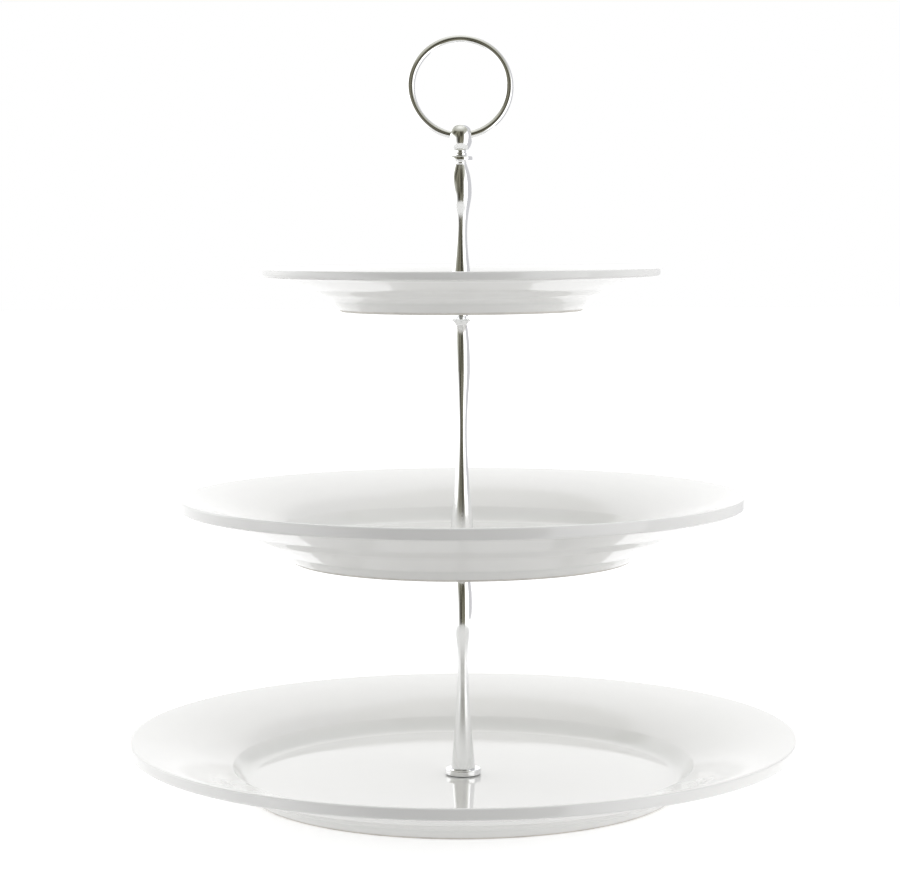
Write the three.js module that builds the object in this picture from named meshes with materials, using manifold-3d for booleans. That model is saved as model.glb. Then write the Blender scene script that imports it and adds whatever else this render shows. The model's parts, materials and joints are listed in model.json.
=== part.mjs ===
// Three-tier cake stand: three porcelain plates clamped on a chromed centre rod that is
// screwed together from three turned lengths, with a wire ring that swings in the top ball.
// Millimetres, +Z up. The origin is on the rod's axis, in the plane that the foot stands on.

import * as THREE from 'three';
import { mergeVertices } from 'three/addons/utils/BufferGeometryUtils.js';
import Module from 'manifold-3d';

// ---------------------------------------------------------------- driving sizes

// Each plate, from its rim inwards. Heights add up from the foot to the rim.
const lowerPlate = {
  rimRadius: 135, // to the outside of the lip
  rimWidth: 41, // from the lip in to the edge of the well
  rimRise: 11.8, // from the edge of the well up to the lip
  lipThickness: 4.8,
  rimThickness: 3.7, // of the rim between the lip and the well
  wallSetout: 8, // from the edge of the well out to the wall under the rim
  coveWidth: 8.5, // of the curved wall between rim and floor
  coveHeight: 5.8,
  floorThickness: 3.0,
  recess: 2.6, // height of the foot ring inside
  footSetback: 7, // from the edge of the well in to the foot
};
const middlePlate = {
  rimRadius: 114,
  rimWidth: 35,
  rimRise: 13.4,
  lipThickness: 4.9,
  rimThickness: 3.6,
  wallSetout: 9.5,
  coveWidth: 8.5,
  coveHeight: 6.2,
  floorThickness: 3.8,
  recess: 2.6,
  footSetback: 10,
};
const topPlate = {
  rimRadius: 80.5,
  rimWidth: 25,
  rimRise: 6.5,
  lipThickness: 3.5,
  rimThickness: 3.4,
  wallSetout: 3,
  coveWidth: 8.5,
  coveHeight: 5.2,
  floorThickness: 3.2,
  recess: 2.4,
  footSetback: 7,
};
const plateHoleRadius = 4; // drilled through the middle of each plate
const footWidth = 3.2; // flat bearing face of the foot ring
const footHeight = 4.3; // outside the foot, up to the crease under the well
const footLean = 4; // how far the foot's outside leans out up to that crease
const footEdge = 0.7; // rounding of the foot's two corners
const wallRun = 4.5; // width of the steeper wall between the rim and the crease
const wallDrop = 1.2; // what the wall drops beyond the rim's slope
const lipRound = 0.8; // rounding of the lip's upper corner
const lipUnder = 1.4; // rounding of its lower corner
const lipRoll = 4.5; // how far in from the lip's edge its thickening starts
const coveEase = 0.4; // how far the cove's curve keeps to its two ends, as a share of its width
const coveDrop = 0.7; // how steeply it leaves the rim, as a share of its height

// Turned lengths of the rod, measured up from the foot of each length.
const lowerRod = {
  footRadius: 4.9,
  waistRadius: 2.44,
  waistHeight: 37,
  bulgeRadius: 4.02,
  bulgeHeight: 65.5,
  shoulderRadius: 3.2, // that the outline bends in towards under the neck
  shoulderDrop: 3, // how far below the neck it does so
  neckRadius: 2.4,
  neckHeight: 80.8,
};
const middleRod = {
  footRadius: 4.95,
  waistRadius: 2.06,
  waistHeight: 42,
  bulgeRadius: 3.46,
  bulgeHeight: 67,
  shoulderRadius: 2.9,
  shoulderDrop: 3.7,
  neckRadius: 2.35,
  neckHeight: 85.3,
};
const handleRod = {
  footRadius: 4.7,
  waistRadius: 2.5,
  waistHeight: 22.5,
  bulgeRadius: 4.4,
  bulgeHeight: 39.6,
  shoulderRadius: 3.05,
  shoulderDrop: 2.5,
  neckRadius: 2.25,
  neckHeight: 50.8,
};
const flareEase = 0.45; // how much of the flare the first third of the taper takes
const waistEase = 0.45; // how long the waist keeps its radius on its way to the bulge
const bulgeEase = 0.15; // how long the bulge keeps its own on its lower side
const fallEase = 0.55; // and on its upper side
const beadRadius = 3.84; // sharp-edged bead at the head of the lower two lengths
const beadHeight = 3.5;
const beadFullness = 0.3; // how far the bead's two faces swell towards its edge
const handleDiscRadius = 4.8; // disc at the head of the handle
const handleDiscHeight = 2.1;
const handleDiscRound = 0.6; // rounding of its two edges
const handleDiscFace = 2.8; // radius of the flat middle of its upper face
const handleDiscBevel = 0.25; // how much that face slopes down outside it
const handleFlareHeight = 0.9; // from the handle's neck out to its disc

// Threaded ends and what is stacked on them.
const studRadius = 2; // M4 thread that joins the lengths through the plates
const studEngagement = 8; // length of thread inside the next length
const socketSpare = 1.5; // hollow left beyond the end of a thread
const threadClearance = 0.15;
const washerBoreClearance = 0.3;
const faceGap = 0.05; // air between clamped faces

const collarRadius = 7.35; // chromed disc between glaze and rod
const collarHeight = 2.2;
const collarRound = 0.6;
const softWasherRadius = 6.9;
const softWasherThickness = 0.4;
const supportFlangeRadius = 7; // flanged nut that carries a plate from below
const supportFlangeThickness = 1.5;
const supportHubRadius = 2.8;
const supportHubHeight = 2.5;
const supportFillet = 0.8; // from the hub out to the flange

const screwHeadRadius = 6.6; // slotted screw under the lower plate
const screwHeadThickness = 1.4;
const screwHeadRound = 0.5;
const slotWidth = 1.2;
const slotDepth = 0.6;

// Finial and ring.
const finialWasherRadius = 2.45;
const finialWasherThickness = 1;
const finialStudRadius = 1.5;
const finialStudEngagement = 3.2;
const ballRadius = 4.9;
const ballDrop = 7.2; // the ball's lower half is drawn out to this height
const ballFootRadius = 2.9; // where it meets its short neck
const ballNeckRadius = 2.2;
const ballNeckHeight = 0.9;
const ringRadius = 19.75; // to the middle of the wire
const wireRadius = 1.55;
const ringLean = 10.5; // degrees that the ring leans back at rest
const ringClearance = 0.15; // between the wire and its hole
const holeLift = 0.4; // the hole lies this far above the ball's widest height
const holeFlare = 0.2; // countersink at each mouth of the hole

// ---------------------------------------------------------------- materials

const finishes = {
  porcelain: { color: 0xf4f3ef, roughness: 0.12, metalness: 0 },
  chrome: { color: 0xf0f1f2, roughness: 0.06, metalness: 1 },
  steel: { color: 0xb9bbbd, roughness: 0.3, metalness: 1 },
  softPlastic: { color: 0xe6e8e6, roughness: 0.5, metalness: 0 },
};

// ---------------------------------------------------------------- solids

const wasm = await Module();
wasm.setup();

const largeSegments = 40; // facets round the plates and the ring
const rodSegments = 16;
const discSegments = 20;
const roundSteps = 3; // points along a small rounding
const sweepSteps = 5; // points along each long curve of the rod

// A profile in the radius-height plane, turned about +Z. Profiles run anticlockwise,
// with radius to the right and height up, so that the faces point out.
function turned(profile, segments, steps = roundSteps) {
  const lathe = new THREE.LatheGeometry(profile.getPoints(steps), segments);
  lathe.rotateX(Math.PI / 2);
  return lathe;
}

function toSolid(geometry) {
  const bare = geometry.clone();
  bare.deleteAttribute('normal');
  bare.deleteAttribute('uv');
  const merged = mergeVertices(bare, 1e-4);
  const triangles = [];
  const index = merged.index.array;
  for (let i = 0; i < index.length; i += 3) {
    const [a, b, c] = index.slice(i, i + 3);
    if (a !== b && b !== c && c !== a) triangles.push(a, b, c);
  }
  return new wasm.Manifold(new wasm.Mesh({
    numProp: 3,
    vertProperties: new Float32Array(merged.attributes.position.array),
    triVerts: new Uint32Array(triangles),
  }));
}

function toGeometry(solid) {
  const mesh = solid.getMesh();
  const geometry = new THREE.BufferGeometry();
  geometry.setAttribute('position', new THREE.BufferAttribute(mesh.vertProperties, 3));
  geometry.setIndex(new THREE.BufferAttribute(mesh.triVerts, 1));
  geometry.computeVertexNormals();
  return geometry;
}

// Where everything inside a plate lies, measured from its foot.
function plateLevels(plate) {
  const floorTop = plate.recess + plate.floorThickness;
  const edgeHeight = floorTop + plate.coveHeight;
  return {
    floorTop,
    edgeHeight,
    rimTop: edgeHeight + plate.rimRise,
    edgeRadius: plate.rimRadius - plate.rimWidth,
    footRadius: plate.rimRadius - plate.rimWidth - plate.footSetback,
  };
}

function plateGeometry(plate) {
  const { floorTop, edgeHeight, rimTop, edgeRadius, footRadius } = plateLevels(plate);
  const floorRadius = edgeRadius - plate.coveWidth;
  const slope = plate.rimRise / (plate.rimWidth - lipRound);
  const footInner = footRadius - footEdge - footWidth;
  const lipBottom = rimTop - plate.lipThickness;

  // The underside drops by a steeper wall between the rim and the crease above the foot.
  const underRim = (radius) => edgeHeight + slope * (radius - edgeRadius) - plate.rimThickness;
  const wallInner = edgeRadius + plate.wallSetout;
  const wallOuter = wallInner + wallRun;
  const wallFoot = underRim(wallInner) - wallDrop;
  const rollRadius = plate.rimRadius - lipRoll;

  const profile = new THREE.Path();
  profile.moveTo(plateHoleRadius, plate.recess);
  profile.lineTo(footInner - plate.recess, plate.recess);
  profile.quadraticCurveTo(footInner - footEdge, plate.recess, footInner, 0);
  profile.lineTo(footRadius - footEdge, 0);
  profile.quadraticCurveTo(footRadius, 0, footRadius + footEdge * footLean / footHeight, footEdge);
  profile.lineTo(footRadius + footLean, footHeight);
  profile.lineTo(wallInner - wallRun / 2, wallFoot - slope * wallRun / 2);
  profile.bezierCurveTo(
    wallInner, wallFoot,
    wallInner + wallRun / 2, underRim(wallInner + wallRun / 2),
    wallOuter, underRim(wallOuter),
  );
  profile.lineTo(rollRadius, underRim(rollRadius));
  profile.lineTo(plate.rimRadius - lipUnder, lipBottom);
  profile.quadraticCurveTo(
    plate.rimRadius, lipBottom, plate.rimRadius, lipBottom + lipUnder,
  );
  profile.lineTo(plate.rimRadius, rimTop - lipRound);
  profile.quadraticCurveTo(plate.rimRadius, rimTop, plate.rimRadius - lipRound, rimTop);
  profile.lineTo(edgeRadius, edgeHeight);
  profile.bezierCurveTo(
    edgeRadius - plate.coveWidth * coveEase, edgeHeight - plate.coveHeight * coveDrop,
    floorRadius + plate.coveWidth * coveEase, floorTop,
    floorRadius, floorTop,
  );
  profile.lineTo(plateHoleRadius, floorTop);
  profile.lineTo(plateHoleRadius, plate.recess);
  return turned(profile, largeSegments);
}

// The shared turned outline, from the foot of a length to its neck.
function balusterOutline(profile, rod) {
  const flare = rod.footRadius - rod.waistRadius;
  const swell = rod.bulgeHeight - rod.waistHeight;
  const fall = rod.neckHeight - rod.bulgeHeight;
  profile.bezierCurveTo(
    rod.footRadius - flare * flareEase, rod.waistHeight / 3,
    rod.waistRadius, rod.waistHeight * 2 / 3,
    rod.waistRadius, rod.waistHeight,
  );
  profile.bezierCurveTo(
    rod.waistRadius, rod.waistHeight + swell * waistEase,
    rod.bulgeRadius, rod.bulgeHeight - swell * bulgeEase,
    rod.bulgeRadius, rod.bulgeHeight,
  );
  profile.bezierCurveTo(
    rod.bulgeRadius, rod.bulgeHeight + fall * fallEase,
    rod.shoulderRadius, rod.neckHeight - rod.shoulderDrop,
    rod.neckRadius, rod.neckHeight,
  );
}

function startAtSocket(profile, rod) {
  const socketRadius = studRadius + threadClearance;
  const socketDepth = studEngagement + socketSpare;
  profile.moveTo(0, socketDepth);
  profile.lineTo(socketRadius, socketDepth);
  profile.lineTo(socketRadius, 0);
  profile.lineTo(rod.footRadius, 0);
}

// A length of rod that ends in a bead and a long stud, which passes up through a plate.
function beadedRodGeometry(rod, studLength) {
  const beadBottom = rod.neckHeight;
  const beadTop = beadBottom + beadHeight;
  const beadEdge = beadBottom + beadHeight / 2;
  const swellHeight = beadHeight / 2 * beadFullness;
  const profile = new THREE.Path();
  startAtSocket(profile, rod);
  balusterOutline(profile, rod);
  profile.quadraticCurveTo(beadRadius - swellHeight, beadEdge - swellHeight, beadRadius, beadEdge);
  profile.quadraticCurveTo(beadRadius - swellHeight, beadEdge + swellHeight, studRadius, beadTop);
  profile.lineTo(studRadius, beadTop + studLength);
  profile.lineTo(0, beadTop + studLength);
  return turned(profile, rodSegments, sweepSteps);
}

// The handle ends in a disc and a short, thinner stud for the finial.
function handleGeometry(rod, studLength) {
  const discBottom = rod.neckHeight + handleFlareHeight;
  const discTop = discBottom + handleDiscHeight;
  const profile = new THREE.Path();
  startAtSocket(profile, rod);
  balusterOutline(profile, rod);
  const discEdge = discTop - handleDiscBevel;
  const discInner = handleDiscRadius - handleDiscRound;
  profile.lineTo(discInner, discBottom);
  profile.quadraticCurveTo(
    handleDiscRadius, discBottom, handleDiscRadius, discBottom + handleDiscRound,
  );
  profile.lineTo(handleDiscRadius, discEdge - handleDiscRound);
  profile.quadraticCurveTo(handleDiscRadius, discEdge, discInner, discEdge);
  profile.lineTo(handleDiscFace, discTop);
  profile.lineTo(finialStudRadius, discTop);
  profile.lineTo(finialStudRadius, discTop + studLength);
  profile.lineTo(0, discTop + studLength);
  return turned(profile, rodSegments, sweepSteps);
}

function washerGeometry(outer, bore, thickness) {
  const profile = new THREE.Path();
  profile.moveTo(bore, 0);
  profile.lineTo(outer, 0);
  profile.lineTo(outer, thickness);
  profile.lineTo(bore, thickness);
  profile.lineTo(bore, 0);
  return turned(profile, discSegments);
}

function collarGeometry() {
  const bore = studRadius + washerBoreClearance;
  const profile = new THREE.Path();
  profile.moveTo(bore, 0);
  profile.lineTo(collarRadius, 0);
  profile.lineTo(collarRadius, collarHeight - collarRound);
  profile.quadraticCurveTo(collarRadius, collarHeight, collarRadius - collarRound, collarHeight);
  profile.lineTo(bore, collarHeight);
  profile.lineTo(bore, 0);
  return turned(profile, discSegments);
}

// Flanged nut: the hub stands on the rod's bead and the flange carries the plate.
function supportNutGeometry() {
  const bore = studRadius + threadClearance;
  const top = supportHubHeight + supportFlangeThickness;
  const profile = new THREE.Path();
  profile.moveTo(bore, 0);
  profile.lineTo(supportHubRadius, 0);
  profile.lineTo(supportHubRadius, supportHubHeight - supportFillet);
  profile.quadraticCurveTo(
    supportHubRadius, supportHubHeight, supportFlangeRadius, supportHubHeight,
  );
  profile.lineTo(supportFlangeRadius, top);
  profile.lineTo(bore, top);
  profile.lineTo(bore, 0);
  return turned(profile, discSegments);
}

// Slotted screw, head down, measured from the underside of its head.
function baseScrewGeometry(shankLength) {
  const profile = new THREE.Path();
  profile.moveTo(0, 0);
  profile.lineTo(screwHeadRadius - screwHeadRound, 0);
  profile.quadraticCurveTo(screwHeadRadius, 0, screwHeadRadius, screwHeadRound);
  profile.lineTo(screwHeadRadius, screwHeadThickness);
  profile.lineTo(studRadius, screwHeadThickness);
  profile.lineTo(studRadius, screwHeadThickness + shankLength);
  profile.lineTo(0, screwHeadThickness + shankLength);
  const slot = new THREE.BoxGeometry(screwHeadRadius * 3, slotWidth, slotDepth * 2);
  return toGeometry(toSolid(turned(profile, discSegments)).subtract(toSolid(slot)));
}

// How far the ring's curve rises across the ball, from the middle of the hole to its mouths.
const ringSagitta = ringRadius - Math.sqrt(ringRadius ** 2 - ballRadius ** 2);
const ringHoleRadius = wireRadius + ringSagitta / 2 + ringClearance;

// The ball is cut off above its neck, where it has narrowed to the radius of its foot.
const ballCut = ballDrop * Math.sqrt(1 - (ballFootRadius / ballRadius) ** 2);
const ballLift = ballNeckHeight + ballCut; // its widest height above the foot of the neck
const hingeLift = ballLift + holeLift;

// Drawn-out ball on a short neck, with a blind socket below and a flared hole across it along X.
function ballGeometry() {
  const socketRadius = finialStudRadius + threadClearance;
  const socketTop = finialStudEngagement + threadClearance;
  const seam = Math.acos(ballCut / ballDrop);
  const profile = new THREE.Path();
  profile.moveTo(0, socketTop);
  profile.lineTo(socketRadius, socketTop);
  profile.lineTo(socketRadius, 0);
  profile.lineTo(ballNeckRadius, 0);
  profile.lineTo(ballNeckRadius, ballNeckHeight);
  const steps = discSegments / 2;
  for (let i = 0; i <= steps; i += 1) {
    const turn = seam + (Math.PI - seam) * i / steps;
    const reach = turn < Math.PI / 2 ? ballDrop : ballRadius;
    profile.lineTo(ballRadius * Math.sin(turn), ballLift - reach * Math.cos(turn));
  }
  const ball = toSolid(turned(profile, discSegments));

  const outward = ringHoleRadius / Math.cos(Math.PI / discSegments);
  const drill = new THREE.CylinderGeometry(outward, outward, ballRadius * 3, discSegments);
  drill.rotateZ(Math.PI / 2);
  drill.translate(0, 0, hingeLift);
  let drilled = ball.subtract(toSolid(drill));
  const mouthDepth = ballRadius - Math.sqrt(ballRadius ** 2 - ringHoleRadius ** 2) + holeFlare;
  for (const side of [-1, 1]) {
    const wide = outward + 2 * mouthDepth;
    const flare = new THREE.CylinderGeometry(wide, outward, 2 * mouthDepth, discSegments);
    flare.rotateZ(-side * Math.PI / 2);
    flare.translate(side * ballRadius, 0, hingeLift);
    drilled = drilled.subtract(toSolid(flare));
  }
  return toGeometry(drilled);
}

// The ring about its hinge: its wire crosses the hinge line between the middle of the
// ball and each mouth of the hole.
function ringGeometry() {
  const ring = new THREE.TorusGeometry(ringRadius, wireRadius, 10, largeSegments);
  ring.rotateX(Math.PI / 2);
  ring.translate(0, 0, ringRadius - ringSagitta / 2);
  ring.rotateX(-THREE.MathUtils.degToRad(ringLean));
  return ring;
}

// ---------------------------------------------------------------- assembly

const stand = new THREE.Group();

function place(name, geometry, finish, height) {
  const mesh = new THREE.Mesh(geometry, new THREE.MeshStandardMaterial(finishes[finish]));
  mesh.name = name;
  mesh.position.z = height;
  stand.add(mesh);
  return mesh;
}

const softBore = studRadius + washerBoreClearance;
const overPlate = softWasherThickness + collarHeight + 3 * faceGap;
const underPlate = supportHubHeight + supportFlangeThickness + softWasherThickness + 3 * faceGap;

function softWasher(name, height) {
  place(name, washerGeometry(softWasherRadius, softBore, softWasherThickness), 'softPlastic', height);
}

// What lies on a plate's floor round the thread; gives the height of the next length's foot.
function stackOverPlate(tier, plate, plateFoot) {
  const floor = plateFoot + plateLevels(plate).floorTop;
  const collarFoot = floor + softWasherThickness + 2 * faceGap;
  softWasher(`soft_washer_over_${tier}_plate`, floor + faceGap);
  place(`collar_${tier}`, collarGeometry(), 'chrome', collarFoot);
  return floor + overPlate;
}

// What carries a plate on the bead below it; gives the height of the plate's foot.
function stackUnderPlate(tier, plate, beadTop) {
  const nutFoot = beadTop + faceGap;
  const washerFoot = nutFoot + supportHubHeight + supportFlangeThickness + faceGap;
  place(`support_nut_${tier}`, supportNutGeometry(), 'chrome', nutFoot);
  softWasher(`soft_washer_under_${tier}_plate`, washerFoot);
  return beadTop + underPlate - plate.recess;
}

function studThrough(plate) {
  return underPlate + plate.floorThickness + overPlate + studEngagement;
}

// Lower plate, screwed to the rod from below.
place('plate_lower', plateGeometry(lowerPlate), 'porcelain', 0);
const baseWasherFoot = lowerPlate.recess - faceGap - softWasherThickness;
softWasher('soft_washer_under_lower_plate', baseWasherFoot);
const screwHeadTop = baseWasherFoot - faceGap;
const lowerRodFoot = stackOverPlate('lower', lowerPlate, 0);
place(
  'base_screw',
  baseScrewGeometry(lowerRodFoot + studEngagement - screwHeadTop),
  'steel',
  screwHeadTop - screwHeadThickness,
);

// Lower length of rod and the middle plate.
place('rod_lower', beadedRodGeometry(lowerRod, studThrough(middlePlate)), 'chrome', lowerRodFoot);
const lowerBeadTop = lowerRodFoot + lowerRod.neckHeight + beadHeight;
const middlePlateFoot = stackUnderPlate('middle', middlePlate, lowerBeadTop);
place('plate_middle', plateGeometry(middlePlate), 'porcelain', middlePlateFoot);

// Middle length of rod and the top plate.
const middleRodFoot = stackOverPlate('middle', middlePlate, middlePlateFoot);
place('rod_middle', beadedRodGeometry(middleRod, studThrough(topPlate)), 'chrome', middleRodFoot);
const middleBeadTop = middleRodFoot + middleRod.neckHeight + beadHeight;
const topPlateFoot = stackUnderPlate('top', topPlate, middleBeadTop);
place('plate_top', plateGeometry(topPlate), 'porcelain', topPlateFoot);

// Handle, finial and ring.
const handleFoot = stackOverPlate('top', topPlate, topPlateFoot);
const ballSeat = finialWasherThickness + 2 * faceGap;
const handleHead = handleFoot + handleRod.neckHeight + handleFlareHeight + handleDiscHeight;
place('rod_handle', handleGeometry(handleRod, ballSeat + finialStudEngagement), 'chrome', handleFoot);
place(
  'finial_washer',
  washerGeometry(finialWasherRadius, finialStudRadius + threadClearance, finialWasherThickness),
  'chrome',
  handleHead + faceGap,
);
const ballFoot = handleHead + ballSeat;
place('finial_ball', ballGeometry(), 'chrome', ballFoot);

place('ring_handle', ringGeometry(), 'chrome', ballFoot + hingeLift);

export default stand;
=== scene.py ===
"""Looks of a three-tier cake stand: glazed porcelain plates on a chromed, turned centre rod.

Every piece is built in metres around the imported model, +Z up, and rides on its body.
"""

import json
import math

import bmesh
import bpy
from bpy.props import FloatProperty, FloatVectorProperty, PointerProperty
from mathutils import Matrix, Vector


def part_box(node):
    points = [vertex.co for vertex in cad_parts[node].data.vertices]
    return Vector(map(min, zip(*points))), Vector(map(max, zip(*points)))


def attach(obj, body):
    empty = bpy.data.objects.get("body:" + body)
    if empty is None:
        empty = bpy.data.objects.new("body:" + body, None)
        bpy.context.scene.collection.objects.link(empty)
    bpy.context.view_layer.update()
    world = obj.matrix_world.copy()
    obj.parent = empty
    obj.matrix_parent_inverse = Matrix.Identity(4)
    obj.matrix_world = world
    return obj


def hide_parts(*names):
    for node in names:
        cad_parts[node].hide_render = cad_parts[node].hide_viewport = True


bl_info = {
    "name": "Tiered cake stand",
    "version": (1, 0, 0),
    "blender": (4, 5, 0),
    "location": "3D View > Sidebar > Cake stand",
    "description": "Porcelain plates, chromed centre rod, ring handle and a plain studio",
    "category": "Object",
}

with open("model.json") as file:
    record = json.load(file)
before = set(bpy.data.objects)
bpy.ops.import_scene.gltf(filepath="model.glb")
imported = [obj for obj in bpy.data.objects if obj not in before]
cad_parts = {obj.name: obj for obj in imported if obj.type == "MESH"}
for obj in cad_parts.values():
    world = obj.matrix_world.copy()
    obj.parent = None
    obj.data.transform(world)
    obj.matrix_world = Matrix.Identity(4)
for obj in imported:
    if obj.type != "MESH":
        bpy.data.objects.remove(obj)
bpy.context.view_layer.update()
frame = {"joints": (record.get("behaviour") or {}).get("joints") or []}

MM = 0.001
TIERS = ("lower", "middle", "top")
PLATE_SEGMENTS = 240  # faces round a plate
ROD_SEGMENTS = 72  # round the rod and its fittings
RING_SEGMENTS = 180  # round the ring handle
WIRE_SEGMENTS = 32  # round the wire that it is bent from
CURVE_STEPS = 10  # points along each curve of an outline
COVE_STEPS = 20  # points along the cove of a plate, and along the wall under its rim
ROD_STEPS = 30  # points along each long curve of the rod
ROUND_STEPS = 5  # points along each small rounding
SHARP_ANGLE = math.radians(38)  # edges that turn more than this stay crisp
THREAD_STEPS = 6  # points along one turn of a thread
SAME_RADIUS = 1e-9  # radii that differ by less are one
WELD = 1e-7  # points that lie closer become one
GLAZED, BARE = 0, 1  # the two finishes of a plate


# ------------------------------------------------------------------ what a user would change


def length(name, size, description):
    return FloatProperty(
        name=name, description=description, default=size, min=0.0, subtype="DISTANCE", unit="LENGTH"
    )


def colour(name, shade, description):
    return FloatVectorProperty(
        name=name, description=description, default=shade, size=3, min=0.0, max=1.0, subtype="COLOR"
    )


def share(name, value, description):
    return FloatProperty(
        name=name, description=description, default=value, min=0.0, max=1.0, subtype="FACTOR"
    )


def level(name, value, description):
    return FloatProperty(name=name, description=description, default=value, min=0.0)


def turning(name, degrees, description):
    return FloatProperty(
        name=name,
        description=description,
        default=math.radians(degrees),
        subtype="ANGLE",
        unit="ROTATION",
    )


def sizes_groups(names, table):
    """A PropertyGroup of lengths for each column of millimetres in a table."""

    def group(name, column):
        notes = {
            key: length(key.replace("_", " ").capitalize(), sizes[column] * MM, description)
            for key, (description, *sizes) in table.items()
        }
        return type(name, (bpy.types.PropertyGroup,), {"__annotations__": notes})

    return [group(name, column) for column, name in enumerate(names)]


PLATE_LENGTHS = {  # in millimetres, on the lower, middle and top plate
    "rim_width": ("From the lip in to the edge of the well", 41, 35, 25),
    "rim_rise": ("From the edge of the well up to the lip", 11.8, 13.4, 6.5),
    "rim_thickness": ("Thickness of the rim between the lip and the well", 3.7, 3.6, 3.4),
    "lip_thickness": ("Thickness of the lip", 4.8, 4.9, 3.5),
    "wall_setout": ("From the edge of the well out to the wall under the rim", 8, 9.5, 3),
    "cove_width": ("Width of the curved wall between rim and floor", 8.5, 8.5, 8.5),
    "floor_thickness": ("Thickness of the floor of the well", 3.0, 3.8, 3.2),
    "recess": ("Height of the foot ring inside", 2.6, 2.6, 2.4),
    "foot_setback": ("From the edge of the well in to the foot", 7, 10, 7),
}
LowerPlateSizes, MiddlePlateSizes, TopPlateSizes = sizes_groups(
    ("LowerPlateSizes", "MiddlePlateSizes", "TopPlateSizes"), PLATE_LENGTHS
)

ROD_LENGTHS = {  # in millimetres, on the lower and middle length and the handle
    "foot_radius": ("Radius of the foot that stands on the collar", 4.9, 4.95, 4.7),
    "waist_radius": ("Radius of the waist", 2.44, 2.06, 2.5),
    "waist_height": ("Height of the waist above the foot", 37, 42, 22.5),
    "bulge_radius": ("Radius of the bulge", 4.02, 3.46, 4.4),
    "bulge_height": ("Height of the bulge above the foot", 65.5, 67, 39.6),
    "shoulder_radius": ("Radius that the outline bends in towards under the neck", 3.2, 2.9, 3.05),
    "shoulder_drop": ("How far below the neck it does so", 3, 3.7, 2.5),
    "neck_radius": ("Radius of the neck", 2.4, 2.35, 2.25),
    "neck_height": ("Height of the neck above the foot", 80.8, 85.3, 50.8),
}
LowerRodSizes, MiddleRodSizes, HandleRodSizes = sizes_groups(
    ("LowerRodSizes", "MiddleRodSizes", "HandleRodSizes"), ROD_LENGTHS
)


class FittingSizes(bpy.types.PropertyGroup):
    """Turned fittings and threads."""

    thread_radius: length("Thread radius", 2 * MM, "Outside of the thread that joins the rods")
    thread_pitch: length("Thread pitch", 0.7 * MM, "Rise of the thread in one turn")
    finial_thread_radius: length("Finial thread radius", 1.5 * MM, "Outside of the ball's thread")
    thread_length: length("Thread length", 8 * MM, "Length of thread held in the next length of rod")
    bead_radius: length("Bead radius", 3.84 * MM, "Sharp-edged bead at the head of a length")
    bead_height: length("Bead height", 3.5 * MM, "Height of that bead")
    disc_height: length("Disc height", 2.1 * MM, "Height of the disc at the head of the handle")
    disc_radius: length("Disc radius", 4.8 * MM, "Radius of the disc at the head of the handle")
    disc_face: length("Disc face", 2.8 * MM, "Radius of the flat middle of its upper face")
    hub_radius: length("Hub radius", 2.8 * MM, "Hub of the nut that carries a plate")
    flange_thickness: length("Flange thickness", 1.5 * MM, "Flange of that nut")
    slot_width: length("Slot width", 1.2 * MM, "Screwdriver slot of the base screw")
    slot_depth: length("Slot depth", 0.6 * MM, "Depth of that slot")
    screw_head: length("Screw head", 1.4 * MM, "Thickness of the base screw's head")


class RingSizes(bpy.types.PropertyGroup):
    """Ball and ring handle."""

    wire_radius: length("Wire radius", 1.55 * MM, "Radius of the ring's wire")
    lean: turning("Lean", 10.5, "How far the ring leans back at rest")
    ball_radius: length("Ball radius", 4.9 * MM, "Radius of the ball")
    ball_drop: length("Ball drop", 7.2 * MM, "How far its lower half is drawn out")
    ball_foot: length("Ball foot", 2.9 * MM, "Radius where it is cut off above its neck")
    neck_radius: length("Neck radius", 2.2 * MM, "Turned neck under the ball")
    neck_height: length("Neck height", 0.9 * MM, "Height of that neck")
    hole_spare: length("Hole spare", 0.15 * MM, "Room round the wire in its hole")


class Finishes(bpy.types.PropertyGroup):
    """Colours of the finishes."""

    glaze: colour("Glaze", (0.905, 0.903, 0.89), "White porcelain under a clear glaze")
    pooled: colour("Pooled glaze", (0.85, 0.86, 0.84), "Where the glaze lies thicker")
    bisque: colour("Bare porcelain", (0.76, 0.735, 0.69), "Ground foot and drilled hole")
    chrome: colour("Chrome", (0.505, 0.503, 0.492), "Bright plating")
    steel: colour("Steel", (0.62, 0.63, 0.64), "Plain turned steel")
    plastic: colour("Soft plastic", (0.86, 0.88, 0.86), "Clear soft washers")


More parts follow.
